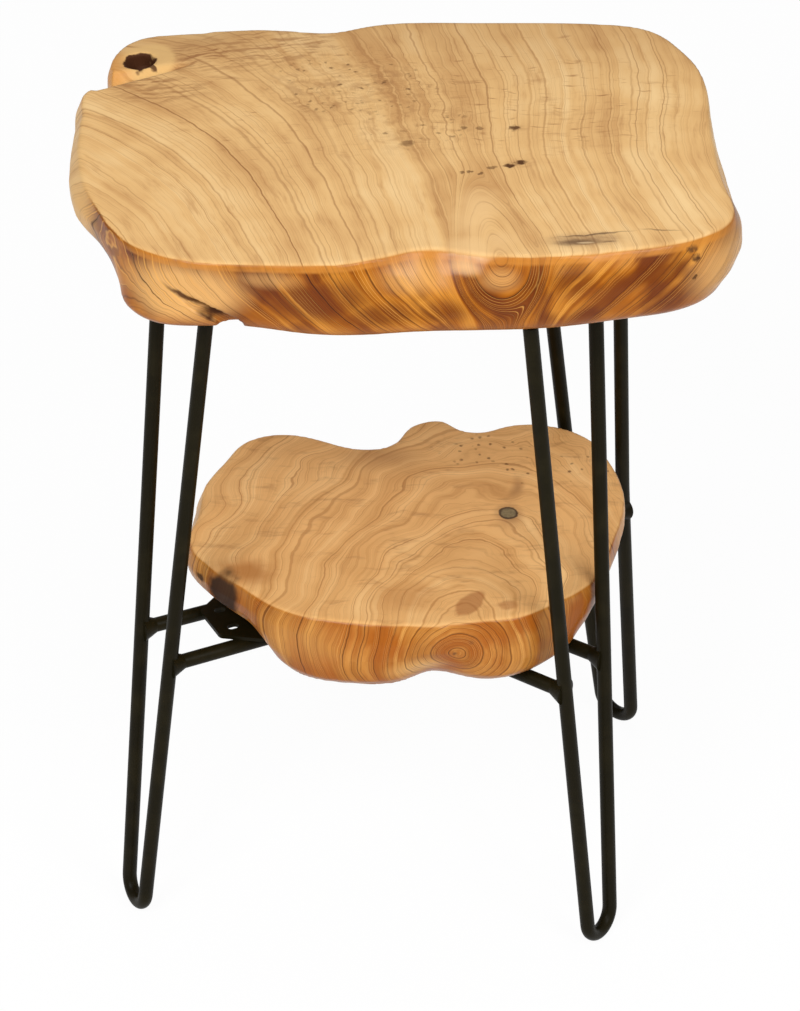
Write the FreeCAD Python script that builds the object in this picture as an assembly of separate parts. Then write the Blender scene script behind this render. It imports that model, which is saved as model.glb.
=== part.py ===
import FreeCAD, Part

import math
import os

# A small rustic side table: a live-edge slab and a live-edge shelf on three hairpin legs.
# Millimetres, Z up. The origin is on the floor, under the middle of the tabletop.

# Overall sizes
table_height = 600.0
top_width = 480.0
top_depth = 380.0
top_thickness = 54.0
shelf_width = 330.0
shelf_depth = 290.0
shelf_thickness = 53.0
shelf_shift_x = 9.4
shelf_shift_y = -35.5

# Slab edges: the flats that ease them
top_arris = 1.5
shelf_arris = 2.0
top_heel = 5.0
shelf_heel = 7.0

# Hairpin legs, bent from round bar
rod_diameter = 11.0
bend_radius = 15.6
hairpin_flare_share = 0.0495
kink_radius = 500.0
kink_rise = 20.0
stretcher_height = 235.3

# Mounting plates under the tabletop
top_plate_thickness = 4.0
top_plate_depth = 46.0
top_plate_corner = 8.0
top_plate_hole_inset = 11.0

# Shelf plates on the stretchers
shelf_plate_thickness = 3.0
shelf_plate_length = 60.0
shelf_plate_tip_width = 36.0
shelf_plate_width = 72.0
shelf_plate_flare_length = 26.0
shelf_plate_corner = 5.0
shelf_slot_width = 6.0
shelf_slot_length = 9.0
shelf_slot_inset = 13.5
shelf_slot_spacing = 24.0
stretcher_end_inset = 4.0

# Weld beads at the coped ends of the stretchers
bead_height = 2.4
bead_length = 5.5

# Wood screws with low tapered heads
screw_diameter = 5.0
screw_head_diameter = 9.5
screw_head_height = 3.0
screw_head_taper = 1.4
screw_length = 26.0
hole_clearance = 0.4
pilot_clearance = 0.12
pilot_end_gap = 1.0

# Natural features of the tabletop
furrow_length = 72.0
furrow_edge_radius = 12.5
furrow_inner_radius = 1.5
knot_mouth_radius = 12.0
knot_floor_radius = 5.0
knot_depth = 19.0
lobe_fall = 3.5
lobe_run = 43.0
crack_upper_radius = 0.8
crack_lower_radius = 7.0

# One overrun past a face serves all cuts
overrun = 12.0

# How far each leg's rods stand clear of the shelf's edge
front_left_leg_gap = 28.6
front_right_leg_gap = 2.2
back_leg_gap = 1.6
leg_gaps = {
    "front_left": front_left_leg_gap,
    "front_right": front_right_leg_gap,
    "back": back_leg_gap,
}
# The way each leg faces, and its lean below and above its kink, per millimetre of height
leg_azimuth_degrees = {"front_left": 206.5, "front_right": 325.3, "back": 48.3}
leg_lean_shares = {
    "front_left": (0.097, 0.097),
    "front_right": (0.097, 0.097),
    "back": (0.164, 0.132),
}
# Where each shelf plate sits under the shelf, as shares of the shelf's width and depth
shelf_seat_shares = {
    "front_left": (-0.370, -0.169),
    "front_right": (0.206, -0.246),
    "back": (0.290, 0.252),
}

# Live-edge outlines, counter-clockwise from the left: the arris as shares of width and
# depth, then how far the belly and the heel of the side stand out, as shares of thickness
top_outline_shares = [
    (-0.4835, 0.084, 0.11, -0.12),
    (-0.479, -0.091, 0.13, -0.22),
    (-0.464, -0.201, 0.10, -0.42),
    (-0.439, -0.296, 0.00, -0.38),
    (-0.401, -0.396, -0.01, 0.00),
    (-0.350, -0.456, 0.02, 0.09),
    (-0.235, -0.490, -0.06, -0.08),
    (-0.143, -0.491, 0.06, 0.08),
    (-0.070, -0.481, 0.12, 0.20),
    (-0.007, -0.446, 0.24, 0.38),
    (0.045, -0.426, 0.32, 0.46),
    (0.095, -0.440, 0.26, 0.34),
    (0.232, -0.446, 0.18, 0.18),
    (0.325, -0.423, 0.16, 0.12),
    (0.410, -0.389, 0.15, 0.09),
    (0.458, -0.346, 0.14, 0.00),
    (0.484, -0.286, 0.11, -0.12),
    (0.478, -0.193, 0.14, -0.12),
    (0.470, -0.096, 0.16, -0.04),
    (0.466, 0.094, 0.08, -0.04),
    (0.460, 0.296, 0.04, -0.10),
    (0.429, 0.402, 0.04, -0.12),
    (0.384, 0.474, 0.04, -0.14),
    (0.316, 0.497, 0.04, -0.14),
    (0.097, 0.498, 0.04, -0.10),
    (-0.060, 0.475, 0.04, -0.12),
    (-0.112, 0.448, 0.02, -0.14),
    (-0.175, 0.454, 0.06, -0.10),
    (-0.343, 0.446, 0.06, -0.12),
    (-0.412, 0.424, 0.06, -0.16),
    (-0.443, 0.360, 0.06, -0.18),
    (-0.448, 0.284, 0.06, -0.16),
    (-0.447, 0.236, 0.02, -0.14),
    (-0.481, 0.186, 0.08, -0.10),
]
shelf_outline_shares = [
    (-0.494, -0.030, 0.08, -0.30),
    (-0.494, -0.145, 0.02, -0.42),
    (-0.458, -0.222, 0.00, -0.48),
    (-0.412, -0.284, 0.00, -0.48),
    (-0.367, -0.334, 0.02, -0.38),
    (-0.312, -0.400, 0.08, -0.10),
    (-0.236, -0.452, 0.12, 0.10),
    (-0.130, -0.478, 0.14, 0.14),
    (-0.009, -0.490, 0.10, -0.02),
    (0.052, -0.487, 0.02, -0.22),
    (0.135, -0.472, 0.08, 0.00),
    (0.245, -0.441, 0.12, 0.08),
    (0.330, -0.376, 0.06, 0.00),
    (0.394, -0.303, 0.02, -0.16),
    (0.432, -0.197, -0.02, -0.34),
    (0.468, -0.069, -0.04, -0.42),
    (0.490, 0.066, -0.04, -0.42),
    (0.488, 0.190, -0.04, -0.34),
    (0.463, 0.300, -0.02, -0.28),
    (0.422, 0.403, 0.00, -0.26),
    (0.340, 0.468, 0.00, -0.22),
    (0.221, 0.466, 0.00, -0.20),
    (0.158, 0.435, 0.00, -0.18),
    (0.112, 0.452, 0.00, -0.16),
    (0.079, 0.488, 0.02, -0.14),
    (0.033, 0.486, 0.02, -0.14),
    (-0.012, 0.440, 0.02, -0.14),
    (-0.045, 0.370, 0.02, -0.16),
    (-0.105, 0.345, 0.02, -0.18),
    (-0.176, 0.368, 0.04, -0.18),
    (-0.261, 0.411, 0.04, -0.16),
    (-0.345, 0.407, 0.04, -0.16),
    (-0.396, 0.365, 0.04, -0.18),
    (-0.434, 0.275, 0.04, -0.20),
    (-0.478, 0.150, 0.06, -0.24),
]
# Where the furrow, the knot hole, the lobe's fall line and the crack lie on the tabletop
furrow_mouth_shares = (-0.457, 0.230)
furrow_turn_degrees = 23.5
knot_place_shares = (-0.406, 0.322)
knot_turn_degrees = 75.0
knot_tilt_degrees = 28.0
lobe_line_shares = (-0.460, 0.220)
lobe_turn_degrees = 38.5
crack_upper_shares = (-0.348, -0.479, 0.66)
crack_lower_shares = (-0.250, -0.466, 0.12)

# Sizes that follow from the ones above
rod_radius = rod_diameter / 2
top_underside = table_height - top_thickness
rod_top = top_underside - top_plate_thickness
shelf_plate_base = stretcher_height + rod_radius
shelf_underside = shelf_plate_base + shelf_plate_thickness
shelf_top = shelf_underside + shelf_thickness
kink_height = stretcher_height + kink_rise

UP = FreeCAD.Vector(0, 0, 1)
SHELF_SHIFT = FreeCAD.Vector(shelf_shift_x, shelf_shift_y, 0)
# Into how many steps the shelf's edge is divided to find where it comes nearest to a rod
EDGE_STEPS = 480
# How many bands round a slab's side from its belly's curve
SIDE_BANDS = 4


def direction(degrees):
    """Return the level unit vector that points degrees counter-clockwise from +X."""
    angle = math.radians(degrees)
    return FreeCAD.Vector(math.cos(angle), math.sin(angle), 0)


def at_height(point, height):
    """Return a copy of a point at another height."""
    return FreeCAD.Vector(point.x, point.y, height)


def distances_round(points):
    """Return how far along each point of a closed outline lies, and its whole length."""
    distances = [0.0]
    for here, following in zip(points, points[1:] + points[:1]):
        distances.append(distances[-1] + here.distanceToPoint(following))
    return distances


def closed_curve(points, parameters):
    """Return a smooth closed wire through level points, spaced by the parameters."""
    curve = Part.BSplineCurve()
    curve.interpolate(Points=points, PeriodicFlag=True, Parameters=parameters)
    return Part.Wire(curve.toShape())


def rounded_polygon(points, radius):
    """Return a face: a level polygon, each of whose corners has the same radius."""
    edges = []
    count = len(points)
    tangents = []
    for index, corner in enumerate(points):
        back = (points[index - 1] - corner).normalize()
        ahead = (points[(index + 1) % count] - corner).normalize()
        half_turn = (math.pi - back.getAngle(ahead)) / 2
        reach = radius * math.tan(half_turn)
        inward = (back + ahead).normalize()
        middle = corner + inward * (radius / math.cos(half_turn) - radius)
        tangents.append((corner + back * reach, middle, corner + ahead * reach))
    for index, (start, middle, end) in enumerate(tangents):
        edges.append(Part.Arc(start, middle, end).toShape())
        following = tangents[(index + 1) % count][0]
        edges.append(Part.makeLine(end, following))
    return Part.Face(Part.Wire(edges))


def turned(profile, place, along):
    """Return a solid turned from a profile (radius, 0, length), set at a place along a line."""
    outline = Part.Face(Part.makePolygon(profile + profile[:1]))
    body = outline.revolve(FreeCAD.Vector(0, 0, 0), UP, 360)
    body.Placement = FreeCAD.Placement(place, FreeCAD.Rotation(UP, along))
    return body


# Slabs

def side_normals(points):
    """Return the outward level normal at each point of a counter-clockwise outline."""
    normals = []
    count = len(points)
    for index in range(count):
        along = points[(index + 1) % count] - points[index - 1]
        normals.append(FreeCAD.Vector(along.y, -along.x, 0).normalize())
    return normals


def level_outline(outline_shares, width, depth, shift):
    """Return the points of a slab's arris, at height zero."""
    return [FreeCAD.Vector(shares[0] * width, shares[1] * depth, 0) + shift
            for shares in outline_shares]


def live_edge_slab(outline_shares, width, depth, thickness, base, shift, arris, heel):
    """Return a slab whose sides swell and draw in as the tree left them.

    The last two sizes are the flats that ease its upper and lower edges. Between them each
    side follows a parabola from its foot through its belly, halfway up, to the arris.
    """
    outline = level_outline(outline_shares, width, depth, shift)
    normals = side_normals(outline)
    parameters = distances_round(outline)

    def ring(height, climb_share, inset):
        points = []
        for point, normal, shares in zip(outline, normals, outline_shares):
            belly, foot = shares[2], shares[3]
            swell_share = 4 * belly * climb_share * (1 - climb_share)
            swell_share += foot * (1 - climb_share) * (1 - 2 * climb_share)
            stand = swell_share * thickness - inset
            points.append(at_height(point + normal * stand, base + height))
        return closed_curve(points, parameters)

    rings = [ring(0, 0, heel)]
    for band in range(SIDE_BANDS + 1):
        climb_share = band / SIDE_BANDS
        rings.append(ring(heel + climb_share * (thickness - heel - arris), climb_share, 0))
    rings.append(ring(thickness, 1, arris))
    return Part.makeLoft(rings, True, True)


def on_top_slab(shares, height):
    """Return a point on the tabletop from shares of its width and depth."""
    return FreeCAD.Vector(shares[0] * top_width, shares[1] * top_depth, height)


def tapered_groove(start, end, start_radius, end_radius):
    """Return the round tapered cutter that runs from start to end."""
    along = end - start
    return Part.makeCone(start_radius, end_radius, along.Length, start, along)


def furrow_cutter():
    """Return the cutter of the furrow that parts the back lobe from the slab."""
    inward = direction(furrow_turn_degrees)
    mouth = on_top_slab(furrow_mouth_shares, table_height)
    start = mouth - inward * overrun
    end = mouth + inward * furrow_length
    return tapered_groove(start, end, furrow_edge_radius, furrow_inner_radius)


def knot_cutter():
    """Return the cutter of the knot hole in the back lobe, which leans outwards."""
    tilt = math.radians(knot_tilt_degrees)
    down = direction(knot_turn_degrees) * math.sin(tilt) - UP * math.cos(tilt)
    floor = on_top_slab(knot_place_shares, table_height) + down * knot_depth
    growth = (knot_mouth_radius - knot_floor_radius) / knot_depth
    rim_radius = knot_mouth_radius + growth * overrun
    return Part.makeCone(knot_floor_radius, rim_radius, knot_depth + overrun, floor, -down)


def lobe_cutter():
    """Return the wedge cutter that lets the back lobe's top fall away to its corner."""
    fall = math.degrees(math.atan2(lobe_fall, lobe_run))
    along = direction(lobe_turn_degrees)
    hinge = on_top_slab(lobe_line_shares, table_height)
    block = Part.makeBox(top_width, top_depth, top_thickness)
    block.translate(FreeCAD.Vector(-top_width / 2, 0, 0))
    block.rotate(FreeCAD.Vector(0, 0, 0), FreeCAD.Vector(1, 0, 0), -fall)
    block.rotate(FreeCAD.Vector(0, 0, 0), UP, lobe_turn_degrees)
    block.translate(hinge + along * lobe_run)
    return block


def crack_cutter():
    """Return the cutter of the crack that opens downwards beside the front lobe."""
    upper = on_top_slab(crack_upper_shares, top_underside + crack_upper_shares[2] * top_thickness)
    lower = on_top_slab(crack_lower_shares, top_underside + crack_lower_shares[2] * top_thickness)
    past = lower + (lower - upper).normalize() * overrun
    return tapered_groove(upper, past, crack_upper_radius, crack_lower_radius)


def build_tabletop():
    """Return the tabletop with its furrow, knot hole, falling lobe and crack."""
    slab = live_edge_slab(top_outline_shares, top_width, top_depth, top_thickness,
                          top_underside, FreeCAD.Vector(0, 0, 0), top_arris, top_heel)
    slab = slab.cut([lobe_cutter(), furrow_cutter(), knot_cutter(), crack_cutter()])
    return slab.cut(top_pilot_holes())


def build_shelf():
    """Return the shelf slab with the pilot holes of its screws."""
    slab = live_edge_slab(shelf_outline_shares, shelf_width, shelf_depth, shelf_thickness,
                          shelf_underside, SHELF_SHIFT, shelf_arris, shelf_heel)
    return slab.cut(shelf_pilot_holes())


# Legs

class Leg:
    """The lines that one leg's pieces share: its plane, its rods and its shelf plate."""

    def __init__(self, name):
        self.outward = direction(leg_azimuth_degrees[name])
        self.sideways = UP.cross(self.outward)
        self.lean_low, self.lean_high = leg_lean_shares[name]
        self.upright = (UP - self.outward * self.lean_low).normalize()
        self.flare = math.atan(hairpin_flare_share * self.upright.z)
        self.bend_height = rod_radius + bend_radius * self.upright.z
        x_share, y_share = shelf_seat_shares[name]
        place = FreeCAD.Vector(x_share * shelf_width, y_share * shelf_depth, 0) + SHELF_SHIFT
        self.shelf_seat = at_height(place, shelf_plate_base)
        self.stand_off = self.shelf_reach() + leg_gaps[name] + rod_radius

    def shelf_reach(self):
        """Return how far the shelf's edge stands out from the plate's middle, by the rods."""
        outline = level_outline(shelf_outline_shares, shelf_width, shelf_depth, SHELF_SHIFT)
        edge = closed_curve(outline, distances_round(outline)).discretize(Number=EDGE_STEPS)
        reaches = [0.0]
        for point in edge:
            offset = at_height(point, shelf_plate_base) - self.shelf_seat
            aside = abs(offset.dot(self.sideways))
            if abs(aside - self.half_gap(shelf_top)) < rod_diameter:
                reaches.append(offset.dot(self.outward))
        return max(reaches)

    def middle(self, height):
        """Return the point midway between the two rods at a height."""
        reach = self.stand_off + self.lean_high * (shelf_top - max(height, kink_height))
        reach += self.lean_low * max(kink_height - height, 0)
        return at_height(self.shelf_seat + self.outward * reach, height)

    def half_gap(self, height):
        """Return half the distance between the rods' centre lines at a height."""
        at_bend = bend_radius / math.cos(self.flare)
        return at_bend + hairpin_flare_share * (height - self.bend_height)

    def rod(self, side, height):
        """Return a point on the centre line of the rod on one side, -1 or +1."""
        return self.middle(height) + self.sideways * (side * self.half_gap(height))

    def on_shelf_plate(self, inward, across):
        """Return a point on the shelf plate's underside, from the middle of its tip."""
        tip = self.shelf_seat + self.outward * (shelf_plate_length / 2)
        return tip - self.outward * inward + self.sideways * across

    def top_half_width(self):
        """Return half the width of the top plate, flush with the rods' outer sides."""
        return self.half_gap(rod_top) + rod_radius

    def on_top_plate(self, inward, across):
        """Return a point on the top plate's underside, from its outer edge's middle."""
        edge = self.middle(rod_top) + self.outward * rod_radius
        return edge - self.outward * inward + self.sideways * across


def kink_arc(corner, before, after):
    """Return a gentle arc's three points where a rod turns above its stretcher."""
    turn = before.getAngle(after)
    reach = kink_radius * math.tan(turn / 2)
    sagitta = kink_radius * (1 / math.cos(turn / 2) - 1)
    middle = corner + (after - before).normalize() * sagitta
    return corner - before * reach, middle, corner + after * reach


def hairpin_bend(leg):
    """Return the three points of the bend at the foot: one side, bottom, other side."""
    centre = leg.middle(leg.bend_height)
    bottom = centre - leg.upright * bend_radius
    ends = []
    for side in (-1, 1):
        outwards = leg.sideways * (side * math.cos(leg.flare)) - leg.upright * math.sin(leg.flare)
        ends.append(centre + outwards * bend_radius)
    return ends[0], bottom, ends[1]


def hairpin_runs(leg):
    """Return the hairpin's straight runs and arcs as lists of points, in any order."""
    left_foot, bottom, right_foot = hairpin_bend(leg)
    straights = []
    arcs = [(left_foot, bottom, right_foot)]
    for side, foot in ((-1, left_foot), (1, right_foot)):
        knee = leg.rod(side, kink_height)
        head = leg.rod(side, rod_top)
        below = (knee - foot).normalize()
        above = (head - knee).normalize()
        past = head + above * overrun
        if leg.lean_low == leg.lean_high:
            straights.append((foot, past))
        else:
            low, middle, high = kink_arc(knee, below, above)
            arcs.append((low, middle, high))
            straights.append((foot, low))
            straights.append((high, past))
    return straights, arcs


def straight_bar(start, end):
    """Return a straight length of the round bar."""
    return Part.makeCylinder(rod_radius, (end - start).Length, start, end - start)


def bent_bar(start, middle, end):
    """Return a bent length of the round bar, turned about the centre of its arc."""
    edge = Part.Arc(start, middle, end).toShape()
    circle = edge.Curve
    along = edge.tangentAt(edge.FirstParameter)
    section = Part.Face(Part.Wire(Part.makeCircle(rod_radius, start, along)))
    turn = math.degrees(edge.Length / circle.Radius)
    return section.revolve(circle.Center, circle.Axis, turn)


def build_hairpin(leg):
    """Return one bent rod, cut level where it stands against the top plate."""
    straights, arcs = hairpin_runs(leg)
    lengths = [straight_bar(*run) for run in straights] + [bent_bar(*arc) for arc in arcs]
    bar = lengths[0].fuse(lengths[1:]).removeSplitter()
    reach = leg.top_half_width() + overrun
    trim = Part.makeBox(reach * 2, reach * 2, overrun * 2)
    trim.translate(leg.middle(rod_top) - FreeCAD.Vector(reach, reach, 0))
    return bar.cut(trim)


def top_plate_holes(leg):
    """Return where the three screws of a top plate go, on its underside."""
    across = leg.top_half_width() - top_plate_hole_inset
    inner = top_plate_depth - top_plate_hole_inset
    return [leg.on_top_plate(top_plate_hole_inset, 0),
            leg.on_top_plate(inner, -across),
            leg.on_top_plate(inner, across)]


def build_top_plate(leg):
    """Return the plate that joins a hairpin to the tabletop, with its three holes."""
    half = leg.top_half_width()
    corners = [leg.on_top_plate(0, -half), leg.on_top_plate(0, half),
               leg.on_top_plate(top_plate_depth, half), leg.on_top_plate(top_plate_depth, -half)]
    plate = rounded_polygon(corners, top_plate_corner).extrude(UP * top_plate_thickness)
    radius = screw_diameter / 2 + hole_clearance
    drills = [Part.makeCylinder(radius, top_plate_thickness + overrun * 2, place - UP * overrun)
              for place in top_plate_holes(leg)]
    return plate.cut(drills)


def shelf_plate_slots(leg):
    """Return the slots of a shelf plate: the outer pair, then the inner pair."""
    outer = shelf_slot_inset
    inner = shelf_plate_length - shelf_slot_inset
    return [leg.on_shelf_plate(inward, side * shelf_slot_spacing / 2)
            for inward in (outer, inner) for side in (-1, 1)]


def slot_cutter(leg, place):
    """Return the cutter of one slot, long towards the leg, with round ends."""
    half = shelf_slot_width / 2
    straight = leg.outward * (shelf_slot_length / 2 - half)
    broad = leg.sideways * half
    base = place - UP * overrun
    edges = []
    for way in (1, -1):
        side = straight * way
        start = base + side - broad * way
        end = base + side + broad * way
        tip = base + side + leg.outward * (half * way)
        edges.append(Part.Arc(start, tip, end).toShape())
        edges.append(Part.makeLine(end, base - side + broad * way))
    outline = Part.Face(Part.Wire(edges))
    return outline.extrude(UP * (shelf_plate_thickness + overrun * 2))


def build_shelf_plate(leg):
    """Return the plate that carries the shelf, narrow towards its leg and slotted."""
    tip = shelf_plate_tip_width / 2
    wide = shelf_plate_width / 2
    corners = [leg.on_shelf_plate(0, -tip), leg.on_shelf_plate(0, tip),
               leg.on_shelf_plate(shelf_plate_flare_length, wide),
               leg.on_shelf_plate(shelf_plate_length, wide),
               leg.on_shelf_plate(shelf_plate_length, -wide),
               leg.on_shelf_plate(shelf_plate_flare_length, -wide)]
    plate = rounded_polygon(corners, shelf_plate_corner).extrude(UP * shelf_plate_thickness)
    return plate.cut([slot_cutter(leg, place) for place in shelf_plate_slots(leg)])


def build_stretcher(leg, side, hairpin):
    """Return one stretcher, coped to its rod with a weld bead, under the shelf plate."""
    start = leg.rod(side, stretcher_height)
    across = side * (shelf_plate_width / 2 - rod_diameter)
    end = leg.on_shelf_plate(shelf_plate_length - stretcher_end_inset, across)
    along = at_height(end, stretcher_height) - start
    bead_foot = rod_radius + bead_length
    bead_radius = rod_radius + bead_height * bead_foot / bead_length
    profile = [FreeCAD.Vector(0, 0, 0),
               FreeCAD.Vector(bead_radius, 0, 0),
               FreeCAD.Vector(rod_radius, 0, bead_foot),
               FreeCAD.Vector(rod_radius, 0, along.Length),
               FreeCAD.Vector(0, 0, along.Length)]
    return turned(profile, start, along).cut(hairpin)


# Screws

def screw(place):
    """Return a wood screw driven upwards, the seat of its head at a place."""
    head = screw_head_diameter / 2
    profile = [FreeCAD.Vector(0, 0, -screw_head_height),
               FreeCAD.Vector(head - screw_head_taper, 0, -screw_head_height),
               FreeCAD.Vector(head, 0, 0),
               FreeCAD.Vector(screw_diameter / 2, 0, 0),
               FreeCAD.Vector(screw_diameter / 2, 0, screw_length),
               FreeCAD.Vector(0, 0, screw_length)]
    return turned(profile, place, UP)


def pilot_hole(place, plate_thickness):
    """Return the cutter of a screw's pilot hole above the plate that it holds."""
    depth = screw_length - plate_thickness + pilot_end_gap
    seat = place + UP * plate_thickness
    return Part.makeCylinder(screw_diameter / 2 + pilot_clearance, depth + overrun,
                             seat - UP * overrun)


def shelf_screw_places(leg):
    """Return the seats of a shelf plate's screws, which go through its inner slots."""
    return shelf_plate_slots(leg)[2:]


def top_pilot_holes():
    """Return the pilot holes of all screws in the tabletop."""
    return [pilot_hole(place, top_plate_thickness)
            for leg in legs.values() for place in top_plate_holes(leg)]


def shelf_pilot_holes():
    """Return the pilot holes of all screws in the shelf."""
    return [pilot_hole(place, shelf_plate_thickness)
            for leg in legs.values() for place in shelf_screw_places(leg)]


# The whole table

legs = {name: Leg(name) for name in leg_gaps}


def build_table():
    """Return every piece of the table by its name."""
    pieces = {"tabletop_slab": build_tabletop(), "shelf_slab": build_shelf()}
    for name, leg in legs.items():
        hairpin = build_hairpin(leg)
        pieces["hairpin_rod_" + name] = hairpin
        pieces["top_plate_" + name] = build_top_plate(leg)
        pieces["shelf_plate_" + name] = build_shelf_plate(leg)
        for label, side in (("right", -1), ("left", 1)):
            pieces["stretcher_" + name + "_" + label] = build_stretcher(leg, side, hairpin)
        top_screws = [screw(place) for place in top_plate_holes(leg)]
        pieces["top_screws_" + name] = Part.makeCompound(top_screws)
        shelf_screws = [screw(place) for place in shelf_screw_places(leg)]
        pieces["shelf_screws_" + name] = Part.makeCompound(shelf_screws)
    return pieces


os.makedirs("parts", exist_ok=True)
for piece_name, shape in build_table().items():
    shape.exportStep("parts/" + piece_name + ".step")
    box = shape.BoundBox
    print(piece_name, len(shape.Solids), shape.isValid(), round(shape.Volume),
          [round(value, 1) for value in (box.XMin, box.XMax, box.YMin, box.YMax, box.ZMin, box.ZMax)])
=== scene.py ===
"""A small rustic side table: two live-edge slabs on three black hairpin legs.

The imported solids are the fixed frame. The slabs are worked again here as natural wood, with
growth rings that run from the flat faces down over the live edges, and the legs, plates
and screws get their coats. Lengths are metres, and millimetres inside the wood's shaders.
"""

import logging
import math
from dataclasses import dataclass
from enum import Enum
from functools import reduce
from typing import Any, Mapping, Optional, Sequence, Union

import bpy
import numpy as np
from mathutils import Matrix, Vector


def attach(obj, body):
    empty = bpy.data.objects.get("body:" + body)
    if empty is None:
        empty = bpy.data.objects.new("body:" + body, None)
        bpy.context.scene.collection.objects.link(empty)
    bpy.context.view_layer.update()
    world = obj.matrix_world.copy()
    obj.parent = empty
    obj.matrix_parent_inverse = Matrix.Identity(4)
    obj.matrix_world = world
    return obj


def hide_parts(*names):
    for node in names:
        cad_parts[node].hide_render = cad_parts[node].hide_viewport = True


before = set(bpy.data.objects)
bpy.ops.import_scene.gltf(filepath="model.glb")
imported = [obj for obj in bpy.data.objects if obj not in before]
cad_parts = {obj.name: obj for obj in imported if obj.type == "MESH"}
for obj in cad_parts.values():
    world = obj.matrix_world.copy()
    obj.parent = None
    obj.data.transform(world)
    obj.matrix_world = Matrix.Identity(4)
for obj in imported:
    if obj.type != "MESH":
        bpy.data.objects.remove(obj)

MM = 0.001
ROOT = "root"
LEGS = ("front_left", "front_right", "back")
WHITE = (1.0, 1.0, 1.0, 1.0)

log = logging.getLogger("side_table")

Colour = tuple[float, float, float, float]
Place = tuple[float, float, float]
Socket = bpy.types.NodeSocket
Piece = bpy.types.Object
Number = Union["Signal", float]


def paint(red: int, green: int, blue: int) -> Colour:
    """Return the linear colour of an sRGB colour given in steps of 0 to 255.

    Args:
        red: The red step.
        green: The green step.
        blue: The blue step.

    Returns:
        The linear colour with full alpha.
    """
    linear = [((step / 255 + 0.055) / 1.055) ** 2.4 for step in (red, green, blue)]
    return (linear[0], linear[1], linear[2], 1.0)


# Shaders

class Signal:
    """A number that varies over a surface: one output socket, with Python's operators."""

    def __init__(self, nodes: "Nodes", socket: Socket) -> None:
        """Wrap one output socket of a node tree."""
        self.nodes = nodes
        self.socket = socket

    def maths(self, operation: str, *inputs: Number) -> "Signal":
        """Return the result of one Math node.

        Args:
            operation: The Math node's operation.
            inputs: What its sockets take, in order.

        Returns:
            The node's output.
        """
        return self.nodes.signal("ShaderNodeMath", {"operation": operation},
                                 dict(enumerate(inputs)))

    def __add__(self, other: Number) -> "Signal":
        """Return the sum."""
        return self.maths("ADD", self, other)

    __radd__ = __add__

    def __sub__(self, other: Number) -> "Signal":
        """Return the difference."""
        return self.maths("SUBTRACT", self, other)

    def __rsub__(self, other: Number) -> "Signal":
        """Return a number less this signal."""
        return self.maths("SUBTRACT", other, self)

    def __mul__(self, other: Number) -> "Signal":
        """Return the product."""
        return self.maths("MULTIPLY", self, other)

    __rmul__ = __mul__

    def __truediv__(self, other: Number) -> "Signal":
        """Return the quotient."""
        return self.maths("DIVIDE", self, other)

    def sine(self) -> "Signal":
        """Return the sine."""
        return self.maths("SINE", self)

    def root(self) -> "Signal":
        """Return the square root."""
        return self.maths("SQRT", self)

    def part(self) -> "Signal":
        """Return what is left past the whole number."""
        return self.maths("FRACT", self)

    def whole(self) -> "Signal":
        """Return the whole number below."""
        return self.maths("FLOOR", self)

    def most(self, other: Number) -> "Signal":
        """Return the larger of two."""
        return self.maths("MAXIMUM", self, other)

    def least(self, other: Number) -> "Signal":
        """Return the smaller of two."""
        return self.maths("MINIMUM", self, other)

    def rise(self, low: float, high: float) -> "Signal":
        """Return a smooth step from 0 at low to 1 at high."""
        return self.nodes.signal("ShaderNodeMapRange", {"interpolation_type": "SMOOTHSTEP"},
                                 {"Value": self, "From Min": low, "From Max": high})

    def fall(self, low: float, high: float) -> "Signal":
        """Return a smooth step from 1 at low to 0 at high."""
        return 1 - self.rise(low, high)

    def scaled(self, low: float, high: float) -> "Signal":
        """Return this signal's span of 0 to 1 as the span from low to high."""
        return self * (high - low) + low

    def wander(self, grain: float, detail: float = 1.0) -> "Signal":
        """Return soft noise from 0 to 1 along this number."""
        return self.nodes.signal("ShaderNodeTexNoise", {"noise_dimensions": "1D"},
                                 {"W": self, "Scale": 1 / grain, "Detail": detail})

    def dice(self) -> "Signal":
        """Return an even random number from 0 to 1 for each value of this number."""
        return self.nodes.signal("ShaderNodeTexWhiteNoise", {"noise_dimensions": "1D"},
                                 {"W": self}, "Value")


def length(x: Signal, y: Signal, z: Signal) -> Signal:
    """Return the length of a vector given by its three parts."""
    return (x * x + y * y + z * z).root()


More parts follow.
